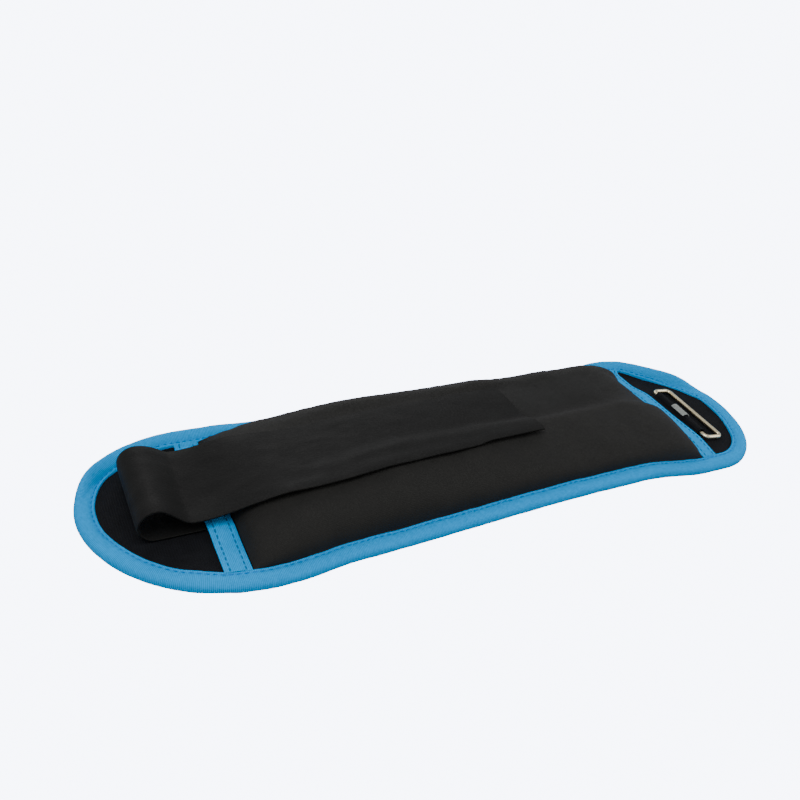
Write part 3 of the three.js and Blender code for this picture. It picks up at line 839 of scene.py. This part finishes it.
def add_panel(material):
    """The skin side: one lining from tongue tip to ring flap tip."""
    pouch_rows = np.linspace(FIRST_FOLD, LAST_FOLD, ROWS_PER_PITCH * 5 + 1)
    left_rows = np.linspace(LEFT_FLAP_TIP, FIRST_FOLD, 22)[:-1]
    right_rows = np.linspace(LAST_FOLD, RIGHT_FLAP_TIP, 18)[1:]
    x = np.concatenate([left_rows, pouch_rows, right_rows])
    y, _ = flap_grid(x, FLAP_COLUMNS)
    seam = seam_height(x[:, None], y)
    sloped = BODY_HALF_WIDTH - PANEL_FLAT_HALF_WIDTH
    outward = np.clip((np.abs(y) - PANEL_FLAT_HALF_WIDTH) / sloped, 0, 1)
    low = (seam - COVER_FOOT) * (1 - np.sqrt(1 - outward**2 * 0.9999))
    padded = ease((x - FIRST_FOLD + 8) / 8)[:, None] * ease((LAST_FOLD + 8 - x) / 8)[:, None]
    z = PANEL_HOLLOW + (low - PANEL_HOLLOW) * padded
    lumps = smooth_noise(x[:, None], y, 30, 5) * 0.25
    z = np.maximum(0.02, z + np.where(np.abs(y) > 30, lumps, 0.0))
    outer = laid(grid_points(x[:, None], y, z))[:, ::-1]
    inner = outer.copy()
    inner[..., 2] += PANEL_THICKNESS
    half = ROWS_PER_PITCH // 2
    cuts = [0] + [len(left_rows) + half + ROWS_PER_PITCH * i for i in range(5)] + [len(x) - 1]
    for part in range(6):
        piece = sheet_piece(f"lining_{part + 1}", outer, inner, material, (cuts[part], cuts[part + 1]))
        across_fold(piece, part)
        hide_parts(f"inner_panel_{part + 1}" if part < 5 else "ring_flap_lining")
        if part == 0:
            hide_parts("tongue_lining")


def add_flap_tops(material):
    for name, node, low, high, body in (
        ("tongue_top", "tongue_cover", LEFT_FLAP_TIP, FIRST_FOLD - COVER_TUCK, "left_flap"),
        ("ring_flap_top", "ring_flap_cover", LAST_FOLD + COVER_TUCK, RIGHT_FLAP_TIP, "right_flap"),
    ):
        x = np.linspace(low, high, 34)
        y, share = flap_grid(x, FLAP_COLUMNS)
        xs = x[:, None]
        z = FLAP_TOP - 0.35 + 0.35 * (1 - share**2) + 0.12 * smooth_noise(xs, y, 26, 9)
        outer = laid(grid_points(xs, y, np.minimum(z, FLAP_TOP + 0.1)))
        inner = laid(grid_points(xs, y, FLAP_SEAM + 0.1))
        piece = sheet_piece(name, outer, inner, material)
        settle(piece, body, node)


# ---- binding


def outline_path():
    """Middle line of the binding, counter-clockwise from the middle of the first pouch's front edge.
    Returns its points, and the row of each cut between pieces."""
    side = HALF_WIDTH - BIND_HALF_WIDTH
    middles = [FIRST_FOLD + PITCH * (i + 0.5) for i in range(5)]
    step = PITCH / 24
    points, cuts = [], [0]

    def run(x_from, x_to, y):
        count = max(2, round(abs(x_to - x_from) / step))
        for i in range(count):
            points.append((x_from + (x_to - x_from) * i / count, y))

    def arc(start, end, first_power, last_power):
        reach = HALF_LENGTH - abs(start) - BIND_HALF_WIDTH
        angle = np.linspace(0, math.pi, 2001)
        exponent = np.where(angle < math.pi / 2, 2 / first_power, 2 / last_power)
        across = -end * np.sign(np.cos(angle)) * np.abs(np.cos(angle)) ** exponent * side
        along = start + end * reach * np.sin(angle) ** exponent
        length = np.concatenate([[0], np.cumsum(np.hypot(np.diff(across), np.diff(along)))])
        even = np.linspace(0, length[-1], 97)[:-1]
        points.extend(zip(np.interp(even, length, along), np.interp(even, length, across)))

    for i in range(4):
        run(middles[i], middles[i + 1], -side)
        cuts.append(len(points))
    run(middles[4], RIGHT_ARC_START, -side)
    arc(RIGHT_ARC_START, 1, *RIGHT_ARC_POWERS)
    run(RIGHT_ARC_START, middles[4], side)
    cuts.append(len(points))
    for i in (4, 3, 2, 1):
        run(middles[i], middles[i - 1], side)
        cuts.append(len(points))
    run(middles[0], LEFT_ARC_START, side)
    arc(LEFT_ARC_START, -1, *LEFT_ARC_POWERS[::-1])
    run(LEFT_ARC_START, middles[0], -side)
    points.append(points[0])
    cuts.append(len(points) - 1)
    return np.array(points), cuts


def binding_section():
    """Closed outline of the folded tape, (outward, up), from its upper edge over to its lower edge."""
    angle = np.linspace(math.pi / 2, -math.pi / 2, 19)
    exponent = 2 / BIND_POWER
    out = BIND_HALF_WIDTH * np.abs(np.cos(angle)) ** exponent
    up = BIND_HALF_HEIGHT * np.sign(np.sin(angle)) * np.abs(np.sin(angle)) ** exponent
    top_in = np.array([-4.55, -4.5, -4.2, -3.6, -3.2, -BIND_STITCH_IN, -2.6, -2.2, -1.5, -0.8])
    top_up = np.array([1.5, 2.2, 2.62, 2.7, 2.55, BIND_STITCH_UP, 2.55, 2.78, 3.02, 3.14])
    out = np.concatenate([top_in, out, top_in[::-1]])
    up = np.concatenate([top_up, up, -top_up[::-1]])
    return out, up


def path_frame(points):
    """Outward direction at each point of the binding's line."""
    ahead = np.roll(points, -1, 0) - np.roll(points, 1, 0)
    ahead[0] = ahead[-1] = points[1] - points[-2]
    ahead = unit(ahead)
    return np.stack([ahead[:, 1], -ahead[:, 0]], -1)


def add_binding(material, thread):
    points, cuts = outline_path()
    outward = path_frame(points)
    seam = seam_height(points[:, 0], points[:, 1])
    length = path_lengths(points)
    turn = 2 * math.pi * length / length[-1]
    wave = 0.12 * np.sin(31 * turn + 1) + 0.10 * np.sin(53 * turn + 2) + 0.07 * np.sin(97 * turn)
    swing = 0.22 * np.sin(23 * turn) + 0.16 * np.sin(41 * turn + 0.6)
    out, up = binding_section()
    groove = np.exp(-(((out + BIND_STITCH_IN) / 0.8) ** 2)) * np.sign(up)
    bite = 0.16 * np.cos(2 * math.pi * length / STITCH_PITCH)
    fuller = np.clip(1 - np.abs(up) / 4, 0, 1)
    across = out + swing[:, None] * (out < 0) * 0.6
    across = across - 0.25 * fuller * np.abs(wave[:, None])
    height = up * (1 + 0.25 * wave[:, None]) - groove * (0.12 + bite[:, None])
    xs = points[:, :1] + outward[:, :1] * across
    ys = points[:, 1:] + outward[:, 1:] * across
    rings = laid(np.stack([xs, ys, np.maximum(seam[:, None] + height, BIND_LOWEST)], -1))
    names = [f"binding_front_run_{i}" for i in range(1, 5)] + ["binding_right"]
    names += [f"binding_back_run_{i}" for i in range(4, 0, -1)] + ["binding_left"]
    folds = [1, 2, 3, 4, 5, 4, 3, 2, 1, 0]
    replaced = [[f"binding_front_{i}"] for i in range(1, 5)]
    replaced += [["binding_front_5", "binding_right_end"]]
    replaced += [[f"binding_back_{i}"] for i in range(5, 1, -1)]
    replaced += [["binding_back_1", "binding_left_end"]]
    seam_line = points + outward * (0.6 * swing - BIND_STITCH_IN)[:, None]
    for level, side in (("top", 1), ("under", -1)):
        thread_height = np.maximum(seam + side * (BIND_STITCH_UP * (1 + 0.25 * wave)), 2 * BIND_LOWEST)
        row = laid(np.stack([seam_line[:, 0], seam_line[:, 1], thread_height], -1))
        for i, name in enumerate(names):
            span = (cuts[i], cuts[i + 1])
            piece = stitches(f"{name}_stitches_{level}", row, thread, side, span)
            across_fold(piece, folds[i])
    for i, name in enumerate(names):
        piece = tube_piece(name, rings, material, span=(cuts[i], cuts[i + 1]))
        across_fold(piece, folds[i])
        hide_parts(*replaced[i])


# ---- cross tapes


def add_cross_tape(end, low, high, humped, material, thread):
    """A tape from X low to X high, humped over what it crosses: (middle, width, lift, ramp) along Y."""
    name = f"{end}_tape"
    body = f"{end}_flap"
    y = np.linspace(-TAPE_HALF_LENGTH, TAPE_HALF_LENGTH, 97)
    share = np.linspace(0, 1, 15)
    bulge = 1.1 - 0.45 * np.abs(2 * share - 1) ** 4
    x = low + (high - low) * share
    hump_middle, hump_width, hump, ramp = humped
    beyond = np.abs(y - hump_middle) - hump_width / 2
    lift = hump * (1 - ease((beyond - 1) / ramp))
    ripple = 0.08 * np.sin(y * 2 * math.pi / STITCH_PITCH) + 0.1 * np.sin(y / 5.3)
    pressed = 0.25 * sum(np.exp(-(((share - row) / 0.07) ** 2)) for row in (0.2, 0.8))[:, None]
    top = FLAP_TOP + 0.25 + bulge[:, None] + lift - pressed + ripple * pressed * 2
    xs = x[:, None] + 0.15 * np.sin(y / 7.1)
    outer = laid(grid_points(xs, y, top))
    inner = laid(grid_points(xs, y, FLAP_TOP + 0.12 + lift))
    piece = sheet_piece(name, outer, inner, material)
    settle(piece, body, f"{end}_cross_tape")
    for number, column in enumerate((3, 11)):
        seam = stitches(f"{name}_stitches_{number + 1}", outer[column], thread)
        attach(seam, body)


# ---- strap


def strap_middle(x):
    """Middle line of the upper run: it comes forward from the fold, then drifts back."""
    forward = ease((x - STRAP_FOLD_X) / (STRAP_LOW_X - STRAP_FOLD_X))
    back = ease((x - STRAP_LOW_X) / (STRAP_TIP - STRAP_LOW_X))
    y = STRAP_MIDDLE_LEFT + (STRAP_MIDDLE_LOW - STRAP_MIDDLE_LEFT) * forward
    return y + (STRAP_MIDDLE_RIGHT - STRAP_MIDDLE_LOW) * back


def run_height(x, y):
    """Height of the strap's upper run: down from the fold to its dip, then resting on the cover."""
    down = ease((x - STRAP_FOLD_X) / (STRAP_DIP_X - STRAP_FOLD_X))
    up = ease((x - STRAP_DIP_X) / (STRAP_BRIDGE_END - STRAP_DIP_X))
    dip = STRAP_UPPER + (STRAP_DIP - STRAP_UPPER) * down
    free = dip + (STRAP_BRIDGE - dip) * up
    patch = HOOK_LIFT * ease((x + 4) / 10)
    pressed = cover_height(np.maximum(x, FIRST_FOLD), y) - dent(x, y)
    rest = pressed + STRAP_CLEARANCE + patch + STRAP / 2
    return 0.5 * (free + rest + np.hypot(free - rest, 1.5 * up))


def strap_path():
    """Middle line of the strap in X and Z, from its sewn root, round the fold, to its free end."""
    centre = (STRAP_UPPER + STRAP_LOWER) / 2
    root_x = np.linspace(STRAP_ROOT_END, STRAP_FOLD_X, 25)[:-1]
    angle = np.linspace(0, math.pi, BEND_STEPS + 1)
    run_x = np.linspace(STRAP_FOLD_X, FIRST_FOLD, 24)[1:]
    pouch_x = np.arange(1, ROWS_PER_PITCH * 3 + 1) * PITCH / ROWS_PER_PITCH + FIRST_FOLD
    pouch_x = np.concatenate([pouch_x, [STRAP_TIP - 3, STRAP_TIP - 1, STRAP_TIP]])
    bend_x = STRAP_FOLD_X - STRAP_BEND_RADIUS * np.sin(angle)
    bend_z = centre - STRAP_BEND_RADIUS * np.cos(angle)
    over_x = np.concatenate([run_x, pouch_x])
    x = np.concatenate([root_x, bend_x, over_x])
    over_z = run_height(over_x, strap_middle(over_x))
    z = np.concatenate([np.full(len(root_x), STRAP_LOWER), bend_z, over_z])
    bend_end = len(root_x) + BEND_STEPS
    marks = {
        "bend_start": len(root_x),
        "bend_middle": len(root_x) + BEND_STEPS // 2,
        "bend_end": bend_end,
        "first_fold": bend_end + len(run_x),
    }
    return x, z, marks


def add_strap(material, hooks):
    """The strap in six pieces, and the hook patch."""
    x, z, marks = strap_path()
    share = np.linspace(-0.5, 0.5, 25)
    first_over = marks["bend_end"] + 1
    line = strap_middle(x)
    line[:first_over] = STRAP_MIDDLE_LEFT
    y = line[:, None] + STRAP_WIDTH * share
    middle = grid_points(x[:, None], y, z[:, None])
    middle[first_over:, :, 2] = run_height(x[first_over:, None], y[first_over:])
    edge = np.abs(2 * share) ** 10
    relief = 0.12 * smooth_noise(x[:, None], y, 34, 21)
    relief[:first_over] *= 0.2
    near_edge = ease((-share - 0.3) / 0.2)
    relief += STRAP_NEAR_EDGE_LIFT * near_edge * ease((x + 115) / 20)[:, None]
    twisted = ease((x - STRAP_FOLD_X) / 12) * ease((STRAP_BRIDGE_END - x) / 30)
    twisted[:first_over] = 0
    twist = STRAP_TWIST_NEAR + STRAP_TWIST_FAR * ease((share + 0.3) / 0.8)
    relief += twist * twisted[:, None]
    middle[..., 2] += relief
    normals = surface_normals(middle)
    half = STRAP / 2 * (1 - 0.35 * edge)[None, :, None]
    outer = middle + normals * half
    inner = middle - normals * half
    first_middle = marks["first_fold"] + ROWS_PER_PITCH // 2
    second_middle = first_middle + ROWS_PER_PITCH

    def strap_piece(name, start, end, *replaced):
        piece = sheet_piece(name, outer, inner, material, (start, end))
        if replaced:
            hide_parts(*replaced)
        return piece

    sewn = strap_piece("strap_sewn_length", 0, marks["bend_start"], "strap_root")
    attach(sewn, "left_flap")
    lower = strap_piece("strap_bend_lower", marks["bend_start"], marks["bend_middle"], "strap_fold")
    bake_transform(lower)
    upper = strap_piece("strap_bend_upper", marks["bend_middle"], marks["bend_end"])
    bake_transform(upper)
    tongue = strap_piece("strap_over_tongue", marks["bend_end"], first_middle, "strap_run_1")
    across_fold(tongue, 0, TONGUE_STRAP_REACH)
    pouch_1 = strap_piece("strap_over_pouch_1", first_middle, second_middle, "strap_run_2")
    across_fold(pouch_1, 1)
    pouch_2 = strap_piece("strap_over_pouch_2", second_middle, len(x) - 1, "strap_run_3", "strap_run_4")
    across_fold(pouch_2, 2)
    add_hook_pad(normals, hooks, middle, second_middle)


def add_hook_pad(normals, hooks, middle, cut):
    """Hook patch under the free end, on the rows of the strap past its last cut."""
    end = middle.shape[0] - 2
    start = int(np.argmin(np.abs(middle[cut:, 0, 0] - HOOK_START))) + cut
    rows = middle[start:end, 1:-1]
    under = rows - normals[start:end, 1:-1] * (STRAP / 2 + 0.15)
    patch = sheet_piece("hook_pad", under, under - np.array([0, 0, HOOK_THICKNESS]), hooks)
    settle(patch, "strap_4", "hook_patch")


# ---- ring


def ring_frame():
    """Where the ring's hinge is, and how far it is turned about Z."""
    x, y, z = (value / MM for value in JOINTS["ring_swing"]["pos_m"])
    axis = JOINTS["ring_swing"]["axis"]
    yaw = math.atan2(axis[0], -axis[1])
    return np.array([x, y, z]), yaw


def turned(points, first, second, angle):
    """Points turned in the plane of two axes, from the first towards the second."""
    result = points.copy()
    result[..., first] = points[..., first] * math.cos(angle) - points[..., second] * math.sin(angle)
    result[..., second] = points[..., first] * math.sin(angle) + points[..., second] * math.cos(angle)
    return result


def placed(points, origin, yaw):
    """Points of the ring or its tab, moved from the hinge's own frame to the cuff's."""
    return turned(points, 0, 1, yaw) + origin


def add_ring(material):
    """A wire bent to a rounded rectangle, with the small bead where its ends are welded."""
    origin, yaw = ring_frame()
    near = RING_CORNER
    far = RING_DEPTH - RING_CORNER
    side = RING_LENGTH / 2 - RING_CORNER
    spots = []
    for cx, cy, start in ((far, -side, -90), (far, side, 0), (near, side, 90), (near, -side, 180)):
        for angle in np.radians(np.linspace(start, start + 90, 15)):
            spots.append((cx + RING_CORNER * math.cos(angle), cy + RING_CORNER * math.sin(angle)))
    spots = np.array(spots + spots[:1])
    length = path_lengths(spots)
    even = np.linspace(0, length[-1], 241)[:-1]
    path = np.stack([np.interp(even, length, column) for column in spots.T], -1)
    rest = FLAP_TOP + RING_CLEARANCE + WIRE_RADIUS
    tilt = math.asin((origin[2] - rest) / RING_DEPTH)
    ahead = unit(np.roll(path, -1, 0) - np.roll(path, 1, 0))
    out = np.stack([ahead[:, 1], -ahead[:, 0]], -1)
    weld = np.exp(-(((path[:, 1] - 14) / 1.1) ** 2)) * (path[:, 0] < 1)
    radius = WIRE_RADIUS * (1 + 0.16 * weld)
    turn = np.linspace(0, 2 * math.pi, 17)[:-1]
    flat = path[:, None, :] + out[:, None, :] * (radius[:, None] * np.cos(turn))[..., None]
    up = radius[:, None] * np.sin(turn)
    local = np.concatenate([flat, up[..., None]], -1)
    rings = placed(turned(local, 0, 2, -tilt), origin, yaw)[:, ::-1]
    piece = tube_piece("ring_wire", rings, material, closed=True)
    settle(piece, "ring", "wire_ring")


def loop_band(path, width, thickness, origin, yaw, columns):
    """A narrow band round the wire, from points [x, z] relative to the wire's middle."""
    path = np.array(path)
    ahead = unit(np.gradient(path, axis=0))
    normal = np.stack([-ahead[:, 1], ahead[:, 0]], -1)
    y = np.linspace(-0.5, 0.5, columns) * width

    def side(sign):
        line = path + sign * normal * thickness / 2
        return placed(grid_points(line[:, :1], y, line[:, 1:]), origin, yaw)

    return side(1), side(-1)


def add_tab(material, ribbon):
    """The webbing tab, sewn to the flap and looped round the ring's bar, with a ribbon round the loop."""
    origin, yaw = ring_frame()

    def loop(size, start, end, count):
        angle = np.linspace(start, end, count)
        return np.stack([size * np.sin(angle), -size * np.cos(angle)], -1)

    tail = np.stack([np.linspace(-12.2, -0.3, 12), np.full(12, -TAB_RADIUS)], -1)
    back = np.array([(-2.4, -0.5), (-3.0, -0.9), (-3.7, -0.95), (-5, -0.95), (-7, -0.95), (-9.6, -0.95)])
    path = np.concatenate([tail, loop(TAB_RADIUS, 0, math.pi * 1.45, 22), back])
    outer, inner = loop_band(path, TAB_WIDTH, TAB_THICKNESS, origin, yaw, 25)
    piece = sheet_piece("ring_loop", outer, inner, material)
    settle(piece, "right_flap", "ring_tab")
    path = loop(RIBBON_RADIUS, math.pi * 0.42, math.pi * 1.25, 16)
    outer, inner = loop_band(path, RIBBON_WIDTH, RIBBON_THICKNESS, origin, yaw, 9)
    piece = sheet_piece("blank_ribbon", outer, inner, ribbon)
    settle(piece, "right_flap", "ring_tab_label")


# ---- build

add_camera()
add_stage()
knit = cover_material()
flap_knit = knit_material("dark_flap_knit", (0.0042, 0.0046, 0.0062), 0.02)
lining_knit = knit_material("lining_knit", (0.0095, 0.0095, 0.0105), 0.03)
tape = binding_material()
edge_thread = thread_material("edge_thread", (0.004, 0.23, 0.62))
tape_thread = thread_material("tape_thread", (0.008, 0.12, 0.32))
strap_cloth = strap_material()

add_cover(knit)
add_panel(lining_knit)
add_flap_tops(flap_knit)
add_binding(tape, edge_thread)
over_strap = (STRAP_MIDDLE_LEFT, STRAP_WIDTH, 1.8, 12)
over_tab = (-9.5, TAB_WIDTH, 2.5, 20)
add_cross_tape("left", LEFT_TAPE_EDGE, FIRST_FOLD - COVER_TUCK, over_strap, tape, tape_thread)
add_cross_tape("right", LAST_FOLD + COVER_TUCK, RIGHT_TAPE_EDGE, over_tab, tape, tape_thread)
add_strap(strap_cloth, hook_material())
add_ring(steel_material())
add_tab(flap_knit, label_material())

# The pouches and their shot stay as packed, inside the cover.
hidden = {
    "shot_pouch": plain_material("pouch_cloth", (0.10, 0.11, 0.125), 0.85, 0, 900),
    "iron_shot": plain_material("iron_shot", (0.16, 0.15, 0.14), 0.5, 0.8, 700),
}
for node, thing in frame["nodes"].items():
    for start, material in hidden.items():
        if node.startswith(start):
            thing.material_slots[0].material = material
